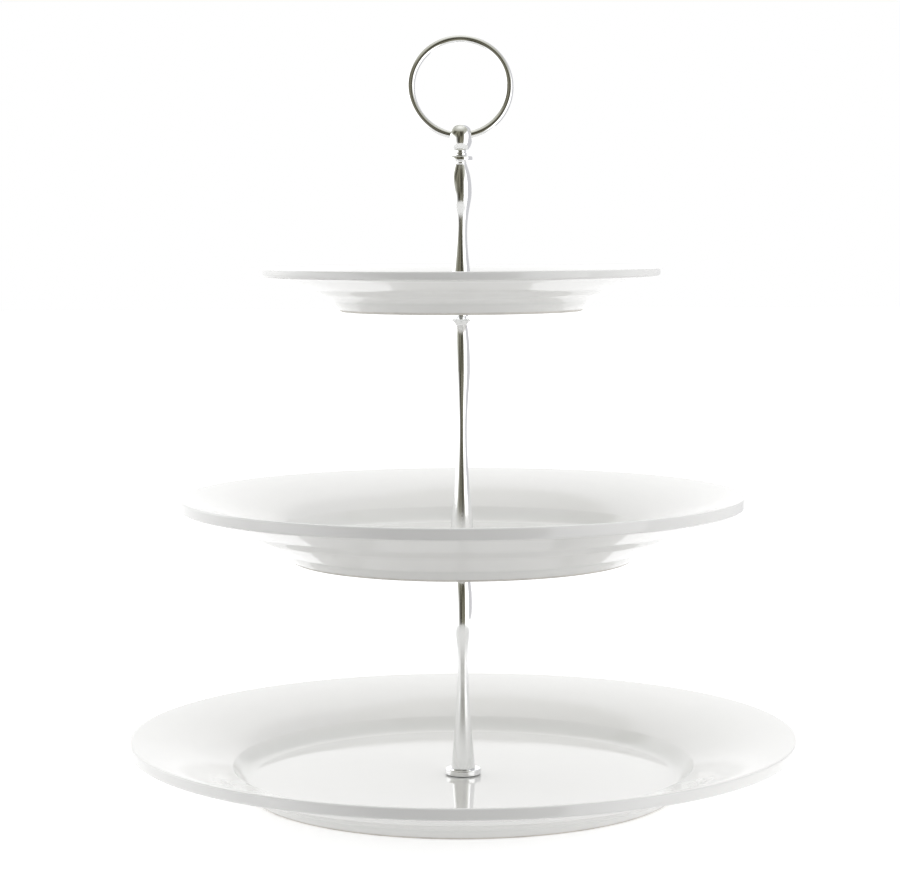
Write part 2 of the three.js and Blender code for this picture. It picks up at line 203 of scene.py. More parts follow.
class Studio(bpy.types.PropertyGroup):
    """Where the camera stands, and what the stand is lit by."""

    distance: length("Distance", 999.24 * MM, "From the rod to the camera along the floor")
    height: length("Height", 227.79 * MM, "Camera above the floor")
    tilt: turning("Tilt", 5.041, "Camera down from the horizontal")
    turn: turning("Turn", 0.275, "Camera to the left of the rod")
    roll: turning("Roll", -0.264, "Camera about its own axis")
    lens: FloatProperty(
        name="Lens", description="Focal length in millimetres", default=99.31, subtype="DISTANCE_CAMERA"
    )
    paper: colour("Paper", (1.0, 1.0, 1.0), "White paper behind and beside the stand")
    light_sides: level("Side light", 1.46, "Light that falls on the stand from the two sides")
    light_back: level("Back light", 1.0, "Light from the paper behind it")
    light_wall: level("Wall's light", 1.1, "Light from the grey wall on the right")
    light_top: level("Top light", 1.04, "Light from overhead")
    light_front: level("Front light", 0.18, "Light from the dark room in front")
    shine: level("Shine", 1.9, "Level of the studio as metal and glaze show it")
    backdrop: colour("Backdrop", (0.64, 0.64, 0.64), "Paper behind the stand, as they show it")
    wall: colour("Wall", (0.34, 0.34, 0.35), "Grey wall on the right")
    wall_start: turning("Wall's start", 77, "Where the grey wall starts, from straight ahead")
    wall_end: turning("Wall's end", 160, "Where it ends, behind the stand")
    ceiling_side: colour("Ceiling's side", (0.25, 0.25, 0.215), "Ceiling just above the paper")
    ceiling_top: colour("Ceiling's top", (0.52, 0.52, 0.49), "Ceiling overhead")
    paper_left: turning("Paper's left edge", 13, "Height of the paper on the left")
    paper_right: turning("Paper's right edge", 41, "Height of the paper on the right")
    paper_back: turning("Paper's back edge", 55, "Height of the paper behind")
    room: colour("Room", (0.12, 0.115, 0.085), "Dark room in front of the stand")
    room_core: colour("Room core", (0.03, 0.028, 0.02), "Darkest parts of that room")
    room_left: turning("Room's left", -72, "Where the paper on the left starts to fade into the room")
    room_full: turning("Room's full dark", -22, "Where that fade ends")
    room_right: turning("Room's right", 34, "Where the room ends")
    room_top: turning("Room's top", 42, "How far up it reaches")
    floor: colour("Floor", (0.80, 0.80, 0.80), "Pale floor")
    floor_glow: share("Floor glow", 0.3, "Light that the floor gives from below")
    floor_lift: share("Floor lift", 0.25, "What lifts the floor to white where it is seen")
    floor_front: length("Floor's front", 145 * MM, "How far the table reaches towards the camera")
    floor_right: length("Floor's right", 300 * MM, "How far it reaches towards the grey wall")


class CakeStand(bpy.types.PropertyGroup):
    """All sizes and finishes of the stand."""

    lower_plate: PointerProperty(type=LowerPlateSizes)
    middle_plate: PointerProperty(type=MiddlePlateSizes)
    top_plate: PointerProperty(type=TopPlateSizes)
    lower_rod: PointerProperty(type=LowerRodSizes)
    middle_rod: PointerProperty(type=MiddleRodSizes)
    handle_rod: PointerProperty(type=HandleRodSizes)
    fittings: PointerProperty(type=FittingSizes)
    ring: PointerProperty(type=RingSizes)
    finishes: PointerProperty(type=Finishes)
    studio: PointerProperty(type=Studio)


# ------------------------------------------------------------------ shader expressions


MIX_SOCKETS = (0, 6, 7)  # factor and the two colours among a Mix node's sockets
MIX_RESULT = 2  # and the colour among its outputs


class Wire:
    """An output socket that takes part in Python sums. Each sum adds its own node."""

    def __init__(self, shader, socket):
        self.shader = shader
        self.socket = socket

    def _sum(self, operation, *terms):
        """Colours are summed in a Mix node, vectors in Vector Math and plain values in Math."""
        kinds = {term.socket.type for term in terms if isinstance(term, Wire)}
        if "RGBA" in kinds:
            return self.shader.mixed(operation, *terms)
        if "VECTOR" in kinds:
            return self.shader.maths(operation, *terms, kind="ShaderNodeVectorMath")
        return self.shader.maths(operation, *terms)

    def __add__(self, other):
        return self._sum("ADD", self, other)

    def __radd__(self, other):
        return self._sum("ADD", other, self)

    def __sub__(self, other):
        return self._sum("SUBTRACT", self, other)

    def __rsub__(self, other):
        return self._sum("SUBTRACT", other, self)

    def __mul__(self, other):
        return self._sum("MULTIPLY", self, other)

    def __rmul__(self, other):
        return self._sum("MULTIPLY", other, self)


class Shader:
    """The node tree of one material or world."""

    def __init__(self, owner):
        owner.use_nodes = True
        self.tree = owner.node_tree
        self.tree.nodes.clear()

    def node(self, kind, settings=None, sockets=None, output=0):
        """Adds a node: its settings first, then what its sockets hold or are linked to."""
        made = self.tree.nodes.new(kind)
        for name, setting in (settings or {}).items():
            setattr(made, name, setting)
        for name, held in (sockets or {}).items():
            if isinstance(held, Wire):
                self.tree.links.new(held.socket, made.inputs[name])
            else:
                made.inputs[name].default_value = held
        if output is None:
            return made
        return Wire(self, made.outputs[output])

    def mixed(self, operation, first, second, amount=1.0):
        """Two colours in a Mix node: blended by MIX, or summed by another operation."""
        colours = [held if isinstance(held, Wire) else (*held, 1.0) for held in (first, second)]
        return self.node(
            "ShaderNodeMix",
            {"data_type": "RGBA", "blend_type": operation},
            dict(zip(MIX_SOCKETS, (amount, *colours))),
            output=MIX_RESULT,
        )

    def blend(self, first, second, amount):
        return self.mixed("MIX", first, second, amount)

    def maths(self, operation, *terms, kind="ShaderNodeMath"):
        return self.node(kind, {"operation": operation}, dict(enumerate(terms)))

    def split(self, vector):
        made = self.node("ShaderNodeSeparateXYZ", sockets={"Vector": vector}, output=None)
        return [Wire(self, socket) for socket in made.outputs]

    def join(self, x, y, z):
        return self.node("ShaderNodeCombineXYZ", sockets={"X": x, "Y": y, "Z": z})

    def place(self):
        """Where a point is, in metres, on its own piece."""
        return self.node("ShaderNodeTexCoord", output="Object")

    def from_axis(self, place):
        """The coordinates of a point, and how far it is from its piece's axis."""
        x, y, z = self.split(place)
        return x, y, z, self.maths("SQRT", x * x + y * y)

    def noise(self, vector, scale, detail=2.0):
        """Lumps of which about scale go in a metre, with finer ones in them as detail grows."""
        return self.node("ShaderNodeTexNoise", sockets={"Vector": vector, "Scale": scale, "Detail": detail})

    def step(self, value, low, high, start=0.0, end=1.0):
        """A smooth rise of value from start at low to end at high."""
        return self.node(
            "ShaderNodeMapRange",
            {"interpolation_type": "SMOOTHSTEP"},
            {"Value": value, "From Min": low, "From Max": high, "To Min": start, "To Max": end},
        )

    def bump(self, height, strength, distance):
        return self.node(
            "ShaderNodeBump", sockets={"Height": height, "Strength": strength, "Distance": distance}
        )

    def output(self, shader):
        kind = "World" if isinstance(self.tree.id_data, bpy.types.World) else "Material"
        self.node(f"ShaderNodeOutput{kind}", sockets={"Surface": shader}, output=None)


def principled(name, sockets_of):
    """A material of one Principled shader; sockets_of(shader) gives what its sockets hold."""
    material = bpy.data.materials.get(name)
    if material is None:
        material = bpy.data.materials.new(name)
        shader = Shader(material)
        shader.output(shader.node("ShaderNodeBsdfPrincipled", sockets=sockets_of(shader)))
    return material


# ------------------------------------------------------------------ finishes


GLAZE_IOR = 1.52
POOL_SHADE = 0.55  # how far thick glaze goes towards the pooled colour
CLOUD_SHADE = 0.12  # how far the cloudy parts of the rest go there
DIMPLE_DEPTH = 0.10  # fine dimples and the rings of shaping, as shares of the slow swell
SHAPING_DEPTH = 0.05
BUFFING_STRETCH = 0.05  # buffing marks run long round a part
BUFFING_SPREAD = 0.4  # and cross its flat faces too
BUFFING_HAZE = 0.25  # what they add to the plating's haze
BUFFING_DEPTH = 0.02  # and to its slow swell
PLASTIC_IOR = 1.45
PLASTIC_CLEAR = 0.5  # how much light passes through the soft washers


def opaque(shade):
    return (*shade, 1.0)


def darker(shade, share_left):
    return tuple(channel * share_left for channel in shade)


def glaze(finishes):
    """Clear glaze over white porcelain: nearly flat, with the slow swell that firing leaves."""

    def sockets(shader):
        place = shader.place()
        _, _, height, radius = shader.from_axis(place)
        swell = shader.noise(place, scale=38.0, detail=1.0)
        dimple = shader.noise(place, scale=260.0)
        shaping = shader.noise(shader.join(radius, 0.0, height), scale=420.0, detail=1.0)
        cloud = shader.noise(place, scale=16.0, detail=3.0)
        skin = shader.noise(place, scale=90.0, detail=3.0)
        thick = shader.node("ShaderNodeAttribute", {"attribute_name": "pooled"}, output="Fac")
        pooled = thick * POOL_SHADE + cloud * CLOUD_SHADE
        relief = swell + dimple * DIMPLE_DEPTH + shaping * SHAPING_DEPTH
        return {
            "Base Color": shader.blend(finishes.glaze, finishes.pooled, pooled),
            "Roughness": shader.step(skin, 0.35, 0.75, start=0.015, end=0.035),
            "IOR": GLAZE_IOR,
            "Normal": shader.bump(relief, strength=0.22, distance=0.25 * MM),
        }

    return principled("glazed porcelain", sockets)


def bisque(finishes):
    """Bare porcelain, ground flat, with a fine dry grain."""

    def sockets(shader):
        place = shader.place()
        grain = shader.noise(place, scale=2600.0, detail=3.0)
        stain = shader.step(shader.noise(place, scale=120.0, detail=4.0), 0.4, 0.7)
        stained = darker(finishes.bisque, share_left=0.86)
        return {
            "Base Color": shader.blend(finishes.bisque, stained, stain),
            "Roughness": shader.step(grain, 0.3, 0.7, start=0.62, end=0.82),
            "Normal": shader.bump(grain, strength=0.5, distance=0.06 * MM),
        }

    return principled("bare porcelain", sockets)


def chrome(finishes):
    """Bright plating over a turned and buffed part."""

    def sockets(shader):
        place = shader.place()
        x, y, height, radius = shader.from_axis(place)
        across = height + radius * BUFFING_SPREAD
        marks = shader.join(x * BUFFING_STRETCH, y * BUFFING_STRETCH, across)
        buffing = shader.noise(marks, scale=5200.0)
        haze = shader.noise(place, scale=240.0, detail=4.0)
        swell = shader.noise(place, scale=170.0, detail=1.0)
        dulled = darker(finishes.chrome, share_left=0.94)
        return {
            "Base Color": shader.blend(finishes.chrome, dulled, shader.step(haze, 0.45, 0.75)),
            "Metallic": 1.0,
            "Roughness": shader.step(haze + buffing * BUFFING_HAZE, 0.4, 0.9, start=0.006, end=0.02),
            "Normal": shader.bump(swell + buffing * BUFFING_DEPTH, strength=0.08, distance=0.04 * MM),
        }

    return principled("chrome", sockets)


def steel(finishes):
    """Plain steel with the rings that facing in a lathe leaves."""

    def sockets(shader):
        place = shader.place()
        _, _, height, radius = shader.from_axis(place)
        rings = shader.noise(shader.join(radius, 0.0, height), scale=9000.0)
        stain = shader.step(shader.noise(place, scale=420.0, detail=4.0), 0.45, 0.7)
        stained = darker(finishes.steel, share_left=0.8)
        return {
            "Base Color": shader.blend(finishes.steel, stained, stain),
            "Metallic": 1.0,
            "Roughness": shader.step(rings, 0.3, 0.7, start=0.24, end=0.38),
            "Normal": shader.bump(rings, strength=0.25, distance=0.02 * MM),
        }

    return principled("plain steel", sockets)


def soft_plastic(finishes):
    """Clear soft washers, slightly milky."""

    def sockets(shader):
        milk = shader.noise(shader.place(), scale=500.0, detail=3.0)
        cloudy = darker(finishes.plastic, share_left=0.92)
        return {
            "Base Color": shader.blend(finishes.plastic, cloudy, shader.step(milk, 0.4, 0.7)),
            "Roughness": shader.step(milk, 0.3, 0.8, start=0.38, end=0.55),
            "Transmission Weight": PLASTIC_CLEAR,
            "IOR": PLASTIC_IOR,
            "Normal": shader.bump(milk, strength=0.2, distance=0.03 * MM),
        }

    return principled("soft plastic", sockets)


# ------------------------------------------------------------------ outlines and solids


class Outline:
    """A line in the radius-height plane, with what its stretches are made of."""

    def __init__(self, radius, height):
        self.points = [(radius, height)]
        self.finishes = []  # of the stretches between the points
        self.finish = GLAZED
        self.pools = [0.0]  # how thick the glaze lies at each point

    def line(self, radius, height, pool=0.0):
        self.points.append((radius, height))
        self.finishes.append(self.finish)
        self.pools.append(pool)

    def curve(self, *controls, steps=CURVE_STEPS, pool=0.0):
        """A Bezier curve from the last point to the last control; glaze pools in its middle."""
        controls = [Vector(p) for p in (self.points[-1], *controls)]
        for i in range(1, steps + 1):
            t = i / steps
            row = controls
            while len(row) > 1:
                row = [a.lerp(b, t) for a, b in zip(row, row[1:])]
            self.line(*row[0], pool=pool * math.sin(math.pi * t))

    def arc(self, centre, radius, start, end, steps=ROUND_STEPS):
        """Part of a circle, from one angle to another in degrees."""
        for i in range(1, steps + 1):
            angle = math.radians(start + (end - start) * i / steps)
            self.line(centre[0] + radius * math.cos(angle), centre[1] + radius * math.sin(angle))

    def corner(self, radius, height, cut, before, after):
        """A rounded corner; before and after say which way the outline runs, as unit steps."""
        self.line(radius - before[0] * cut, height - before[1] * cut)
        self.curve((radius, height), (radius + after[0] * cut, height + after[1] * cut), steps=ROUND_STEPS)


def shade_smooth(made):
    """Shades a bmesh smooth, and leaves its sharp edges crisp."""
    for face in made.faces:
        face.smooth = True
    for edge in made.edges:
        if len(edge.link_faces) == 2:
            edge.smooth = edge.calc_face_angle() < SHARP_ANGLE


def finished_object(name, made, materials):
    """Turns a bmesh into a closed, smooth-shaded object of the scene."""
    bmesh.ops.remove_doubles(made, verts=made.verts, dist=WELD)
    bmesh.ops.recalc_face_normals(made, faces=made.faces)
    shade_smooth(made)
    mesh = bpy.data.meshes.new(name)
    made.to_mesh(mesh)
    made.free()
    for material in materials:
        mesh.materials.append(material)
    piece = bpy.data.objects.new(name, mesh)
    bpy.context.scene.collection.objects.link(piece)
    return piece


def turned(outline, segments, base=0.0, thread=None):
    """A bmesh of an outline turned about +Z, closed where the outline starts and ends.

    thread(radius, height, angle) may give the radius of a point in place of its own.
    """
    made = bmesh.new()
    pooled = made.verts.layers.float.new("pooled")
    rows = []
    for (radius, height), pool in zip(outline.points, outline.pools):
        if radius < SAME_RADIUS:
            row = [made.verts.new((0.0, 0.0, base + height))] * segments
            row[0][pooled] = pool
        else:
            row = []
            for i in range(segments):
                angle = math.tau * i / segments
                r = thread(radius, height, angle) if thread else radius
                vertex = made.verts.new((r * math.cos(angle), r * math.sin(angle), base + height))
                vertex[pooled] = pool
                row.append(vertex)
        rows.append(row)
    for lower, upper, finish in zip(rows, rows[1:], outline.finishes):
        for i in range(segments):
            j = (i + 1) % segments
            corners = dict.fromkeys([lower[i], lower[j], upper[j], upper[i]])
            if len(corners) > 2:
                made.faces.new(list(corners)).material_index = finish
    return made


def put(piece, body, node):
    """Rides a piece on its body, for the node that it stands for."""
    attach(piece, body)
    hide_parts(node)


def add_turned(name, node, outline, finish, thread=None):
    """Turns a piece of the stand about the rod's axis, with its foot where its node's is."""
    low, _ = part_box(node)
    made = turned(outline, ROD_SEGMENTS, low.z, thread)
    put(finished_object(name, made, [finish]), "stand", node)


# ------------------------------------------------------------------ plates

HOLE_RADIUS = 4 * MM
HOLE_CHAMFER = 0.35 * MM
FOOT_WIDTH = 3.2 * MM
FOOT_HEIGHT = 4.3 * MM
FOOT_LEAN = 4 * MM  # how far the foot's outside leans out on its way up
FOOT_EDGE = 0.7 * MM
GLAZE_LINE = 0.95 * MM  # where the glaze ends above the foot's bearing face
GLAZE_ROLL = 0.06 * MM  # how thick it ends
CREASE_ROUND = 0.9 * MM  # glaze that fills the crease above the foot
WALL_RUN = 4.5 * MM  # width of the steeper wall between the rim and the crease
WALL_DROP = 1.2 * MM  # what that wall drops beyond the rim's slope
LIP_ROUND = 0.8 * MM
LIP_UNDER = 1.4 * MM
LIP_ROLL = 4.5 * MM  # how far in from the lip's edge its thickening starts
ROLL_ROUND = 1.1 * MM
COVE_EASE = 0.4  # how far the cove keeps to the floor and the rim, as a share of its width
COVE_DROP = 0.7  # how steeply it leaves the rim, as a share of its height


def plate_outline(plate, rim_radius, rim_top):
    """Section of a plate, from the underside of its hole out to the lip and back."""
    floor_top = plate.recess + plate.floor_thickness
    edge_radius = rim_radius - plate.rim_width
    edge_height = rim_top - plate.rim_rise
    cove_height = edge_height - floor_top
    floor_radius = edge_radius - plate.cove_width
    foot_radius = edge_radius - plate.foot_setback
    foot_inner = foot_radius - FOOT_EDGE - FOOT_WIDTH
    slope = plate.rim_rise / (plate.rim_width - LIP_ROUND)
    lip_bottom = rim_top - plate.lip_thickness

    def under_rim(radius):
        return Vector((radius, edge_height + slope * (radius - edge_radius) - plate.rim_thickness))

    def beside_foot(height):
        return Vector((foot_radius + FOOT_LEAN * height / FOOT_HEIGHT, height))

    bare = Vector((GLAZE_ROLL, 0.0))
    crease = beside_foot(FOOT_HEIGHT)
    wall_inner = edge_radius + plate.wall_setout
    wall_foot = under_rim(wall_inner) - Vector((0.0, WALL_DROP))
    wall_start = wall_foot - Vector((1.0, slope)) * WALL_RUN / 2
    well = (wall_start - crease).normalized()
    roll = under_rim(rim_radius - LIP_ROLL)
    lip_corner = Vector((rim_radius - LIP_UNDER, lip_bottom))

    outline = Outline(HOLE_RADIUS, plate.recess + HOLE_CHAMFER)
    outline.line(HOLE_RADIUS + HOLE_CHAMFER, plate.recess)
    outline.line(foot_inner - plate.recess, plate.recess)
    outline.curve((foot_inner - FOOT_EDGE, plate.recess), (foot_inner - GLAZE_ROLL, GLAZE_LINE), pool=0.6)
    outline.finish = BARE
    outline.line(foot_inner, GLAZE_LINE / 2)
    outline.curve((foot_inner, 0), (foot_inner + FOOT_EDGE / 2, 0), steps=ROUND_STEPS)
    outline.line(foot_radius - FOOT_EDGE, 0)
    outline.curve(beside_foot(0.0) - bare, beside_foot(FOOT_EDGE) - bare, steps=ROUND_STEPS)
    outline.line(*(beside_foot(GLAZE_LINE) - bare))
    outline.finish = GLAZED
    outline.line(*beside_foot(GLAZE_LINE + GLAZE_ROLL))
    outline.line(*beside_foot(FOOT_HEIGHT - CREASE_ROUND))
    outline.curve(crease, crease + well * CREASE_ROUND, pool=1.0)
    outline.line(*wall_start)
    outline.curve(
        wall_foot,
        under_rim(wall_inner + WALL_RUN / 2),
        under_rim(wall_inner + WALL_RUN),
        steps=COVE_STEPS,
    )
    outline.line(*(roll - Vector((1.0, slope)) * ROLL_ROUND))
    outline.curve(roll, roll.lerp(lip_corner, ROLL_ROUND / (LIP_ROLL - LIP_UNDER)))
    outline.line(*lip_corner)
    outline.curve((rim_radius, lip_bottom), (rim_radius, lip_bottom + LIP_UNDER))
    outline.line(rim_radius, rim_top - LIP_ROUND)
    outline.curve((rim_radius, rim_top), (rim_radius - LIP_ROUND, rim_top))
    outline.line(edge_radius, edge_height)
    outline.curve(
        (edge_radius - plate.cove_width * COVE_EASE, edge_height - cove_height * COVE_DROP),
        (floor_radius + plate.cove_width * COVE_EASE, floor_top),
        (floor_radius, floor_top),
        steps=COVE_STEPS,
        pool=1.0,
    )
    outline.line(HOLE_RADIUS + HOLE_CHAMFER, floor_top)
    outline.finish = BARE
    outline.line(HOLE_RADIUS, floor_top - HOLE_CHAMFER)
    outline.line(HOLE_RADIUS, plate.recess + HOLE_CHAMFER)
    return outline


class MakePlates(bpy.types.Operator):
    """Make the three porcelain plates"""

    bl_idname = "cake_stand.make_plates"
    bl_label = "Make plates"

    def execute(self, context):
        stand = context.scene.cake_stand
        for tier in TIERS:
            node = f"plate_{tier}"
            low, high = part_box(node)
            outline = plate_outline(getattr(stand, f"{tier}_plate"), high.x, high.z - low.z)
            piece = finished_object(
                f"{tier}_plate",
                turned(outline, PLATE_SEGMENTS, low.z),
                [glaze(stand.finishes), bisque(stand.finishes)],
            )
            put(piece, "stand", node)
        return {"FINISHED"}


# ------------------------------------------------------------------ rods

FLARE_EASE = 0.45  # how much of the flare the first third of the taper takes
RISES = {  # how long the waist and the bulge of each length keep their radius between them
    "lower_rod": (0.65, 0.35),
    "middle_rod": (0.45, 0.15),
    "handle_rod": (0.55, 0.3),
}
FALL_EASE = 0.55  # how long the bulge keeps its radius on its upper side
BEAD_FULLNESS = 0.3  # how far the bead's two faces swell towards its edge
SOCKET_SPARE = 1.5 * MM  # hollow left beyond the end of a thread
THREAD_CLEARANCE = 0.15 * MM
THREAD_DEPTH = 0.38 * MM
THREAD_LEAD = 0.5 * MM  # pointed end of a thread
SMALL_CHAMFER = 0.25 * MM
DISC_FLARE = 0.9 * MM  # from the handle's neck out to its disc
DISC_ROUND = 0.6 * MM  # rounding of its two edges
DISC_BEVEL = 0.25 * MM  # how much its upper face slopes down outside its flat middle


def start_at_socket(rod, fittings):
    """The blind, threaded hollow in the foot of a length, and the edge of that foot."""
    hollow = fittings.thread_radius + THREAD_CLEARANCE
    depth = fittings.thread_length + SOCKET_SPARE
    outline = Outline(0.0, depth)
    outline.line(hollow - SMALL_CHAMFER, depth)
    outline.line(hollow, depth - SMALL_CHAMFER)
    outline.line(hollow, SMALL_CHAMFER)
    outline.line(hollow + SMALL_CHAMFER, 0.0)
    outline.line(rod.foot_radius - SMALL_CHAMFER, 0.0)
    outline.line(rod.foot_radius, SMALL_CHAMFER)
    return outline


def add_baluster(outline, rod, rise):
    """The turned outline from the foot of a length to its neck."""
    waist_ease, bulge_ease = rise
    flare = rod.foot_radius - rod.waist_radius
    swell = rod.bulge_height - rod.waist_height
    fall = rod.neck_height - rod.bulge_height
    outline.curve(
        (rod.foot_radius - flare * FLARE_EASE, rod.waist_height / 3),
        (rod.waist_radius, rod.waist_height * 2 / 3),
        (rod.waist_radius, rod.waist_height),
        steps=ROD_STEPS,
    )
    outline.curve(
        (rod.waist_radius, rod.waist_height + swell * waist_ease),
        (rod.bulge_radius, rod.bulge_height - swell * bulge_ease),
        (rod.bulge_radius, rod.bulge_height),
        steps=ROD_STEPS,
    )
    outline.curve(
        (rod.bulge_radius, rod.bulge_height + fall * FALL_EASE),
        (rod.shoulder_radius, rod.neck_height - rod.shoulder_drop),
        (rod.neck_radius, rod.neck_height),
        steps=ROD_STEPS,
    )


def add_stud(outline, radius, pitch, top):
    """A threaded stud from the outline's last height to top, closed on the axis."""
    start = outline.points[-1][1]
    turns = (top - start - THREAD_LEAD) / pitch
    steps = int(turns * THREAD_STEPS)
    for i in range(steps + 1):
        outline.line(radius, start + (top - THREAD_LEAD - start) * i / steps)
    outline.line(radius - THREAD_LEAD, top)
    outline.line(0.0, top)


def thread_cut(stud_radius, pitch, start, end):
    """Gives turned() the radius of a helical thread between two heights."""

    def cut(radius, height, angle):
        if abs(radius - stud_radius) > SAME_RADIUS or not start <= height <= end:
            return radius
        turn = (height / pitch - angle / math.tau) % 1.0
        return radius - THREAD_DEPTH * (0.5 - 0.5 * math.cos(math.tau * turn))

    return cut


def beaded_rod(rod, rise, fittings, total):
    """A length that ends in a sharp-edged bead and the long stud that passes through a plate."""
    outline = start_at_socket(rod, fittings)
    add_baluster(outline, rod, rise)
    bead_edge = rod.neck_height + fittings.bead_height / 2
    bead_top = rod.neck_height + fittings.bead_height
    swell = fittings.bead_height / 2 * BEAD_FULLNESS
    edge = fittings.bead_radius
    outline.curve((edge - swell, bead_edge - swell), (edge, bead_edge), steps=ROUND_STEPS)
    outline.curve((edge - swell, bead_edge + swell), (fittings.thread_radius, bead_top), steps=ROUND_STEPS)
    add_stud(outline, fittings.thread_radius, fittings.thread_pitch, total)
    cut = thread_cut(fittings.thread_radius, fittings.thread_pitch, bead_top + SMALL_CHAMFER, total)
    return outline, cut


def handle_rod(rod, rise, fittings, total):
    """The handle, which ends in a disc and the thinner stud that holds the ball."""
    outline = start_at_socket(rod, fittings)
    add_baluster(outline, rod, rise)
    bottom = rod.neck_height + DISC_FLARE
    top = bottom + fittings.disc_height
    edge = fittings.disc_radius
    stud = fittings.finial_thread_radius
    outline.curve((rod.neck_radius, bottom), (rod.neck_radius + DISC_FLARE, bottom))
    outline.line(edge - DISC_ROUND, bottom)
    outline.curve((edge, bottom), (edge, bottom + DISC_ROUND))
    outline.line(edge, top - DISC_BEVEL - DISC_ROUND)
    outline.curve((edge, top - DISC_BEVEL), (edge - DISC_ROUND, top - DISC_BEVEL))
    outline.line(fittings.disc_face, top)
    outline.line(stud, top)
    add_stud(outline, stud, fittings.thread_pitch, total)
    return outline, thread_cut(stud, fittings.thread_pitch, top + SMALL_CHAMFER, total)


class MakeRods(bpy.types.Operator):
    """Make the three turned lengths of the centre rod"""

    bl_idname = "cake_stand.make_rods"
    bl_label = "Make rods"

    def execute(self, context):
        stand = context.scene.cake_stand
        lengths = (
            ("lower_rod", "rod_lower", beaded_rod),
            ("middle_rod", "rod_middle", beaded_rod),
            ("handle_rod", "rod_handle", handle_rod),
        )
        for name, node, outline_of in lengths:
            low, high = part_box(node)
            sizes = getattr(stand, name)
            outline, cut = outline_of(sizes, RISES[name], stand.fittings, high.z - low.z)
            add_turned(name, node, outline, chrome(stand.finishes), cut)
        return {"FINISHED"}


# ------------------------------------------------------------------ fittings

COLLAR_ROUND = 0.6 * MM
BORE_CLEARANCE = 0.3 * MM
HUB_FILLET = 0.8 * MM
EDGE_ROUND = 0.12 * MM
SCREW_HEAD_ROUND = 0.5 * MM
SLOT_CUTTER = 3  # length of what cuts the screw's slot, in radii of its head


def close_at_bore(outline, bore, height):
    """Ends an outline down a bore with chamfered edges, where it started."""
    outline.line(bore + EDGE_ROUND, height)
    outline.line(bore, height - EDGE_ROUND)
    outline.line(bore, EDGE_ROUND)
    outline.line(bore + EDGE_ROUND, 0.0)


def ring_outline(bore, outer, height, top_round, bottom_round=EDGE_ROUND):
    """Section of a flat ring with its outer edges rounded."""
    outline = Outline(bore + EDGE_ROUND, 0.0)
    outline.corner(outer, 0.0, bottom_round, (1, 0), (0, 1))
    outline.corner(outer, height, top_round, (0, 1), (-1, 0))
    close_at_bore(outline, bore, height)
    return outline


def nut_outline(fittings, flange_radius, height):
    """Section of a nut whose flange lies on top of its hub."""
    bore = fittings.thread_radius + THREAD_CLEARANCE
    hub = fittings.hub_radius
    flange_bottom = height - fittings.flange_thickness
    outline = Outline(bore + EDGE_ROUND, 0.0)
    outline.corner(hub, 0.0, EDGE_ROUND, (1, 0), (0, 1))
    outline.line(hub, flange_bottom - HUB_FILLET)
    outline.curve((hub, flange_bottom), (flange_radius - EDGE_ROUND, flange_bottom))
    outline.line(flange_radius, flange_bottom + EDGE_ROUND)
    outline.corner(flange_radius, height, EDGE_ROUND, (0, 1), (-1, 0))
    close_at_bore(outline, bore, height)
    return outline


class MakeCollars(bpy.types.Operator):
    """Make the chromed collar that stands between each plate and the rod above it"""

    bl_idname = "cake_stand.make_collars"
    bl_label = "Make collars"

    def execute(self, context):
        stand = context.scene.cake_stand
        bore = stand.fittings.thread_radius + BORE_CLEARANCE
        for tier in TIERS:
            node = f"collar_{tier}"
            low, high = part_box(node)
            outline = ring_outline(bore, high.x, high.z - low.z, COLLAR_ROUND)
            add_turned(f"{tier}_collar", node, outline, chrome(stand.finishes))
        return {"FINISHED"}


class MakeSupportNuts(bpy.types.Operator):
    """Make the flanged nuts that carry the middle and top plates"""

    bl_idname = "cake_stand.make_support_nuts"
    bl_label = "Make support nuts"

    def execute(self, context):
        stand = context.scene.cake_stand
        for tier in TIERS[1:]:
            node = f"support_nut_{tier}"
            low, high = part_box(node)
            outline = nut_outline(stand.fittings, high.x, high.z - low.z)
            add_turned(f"{tier}_support_nut", node, outline, chrome(stand.finishes))
        return {"FINISHED"}


class MakeSoftWashers(bpy.types.Operator):
    """Make the clear soft washers on both sides of each plate"""

    bl_idname = "cake_stand.make_soft_washers"
    bl_label = "Make soft washers"

    def execute(self, context):
        stand = context.scene.cake_stand
        bore = stand.fittings.thread_radius + BORE_CLEARANCE
        for tier in TIERS:
            for side in ("under", "over"):
                node = f"soft_washer_{side}_{tier}_plate"
                low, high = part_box(node)
                outline = ring_outline(bore, high.x, high.z - low.z, EDGE_ROUND)
                name = f"{tier}_soft_washer_{side}"
                add_turned(name, node, outline, soft_plastic(stand.finishes))
        return {"FINISHED"}


def combine(piece, other, operation):
    """Applies a Boolean of another solid to a piece, and removes that solid."""
    modifier = piece.modifiers.new("solid", "BOOLEAN")
    modifier.operation = operation
    modifier.solver = "EXACT"
    modifier.object = other
    graph = bpy.context.evaluated_depsgraph_get()
    mesh = bpy.data.meshes.new_from_object(piece.evaluated_get(graph))
    piece.modifiers.clear()
    old = piece.data
    piece.data = mesh
    bpy.data.meshes.remove(old)
    bpy.data.objects.remove(other)
    made = bmesh.new()
    made.from_mesh(mesh)
    bmesh.ops.remove_doubles(made, verts=made.verts, dist=WELD)
    shade_smooth(made)
    made.to_mesh(mesh)
    made.free()
    mesh.name = piece.name


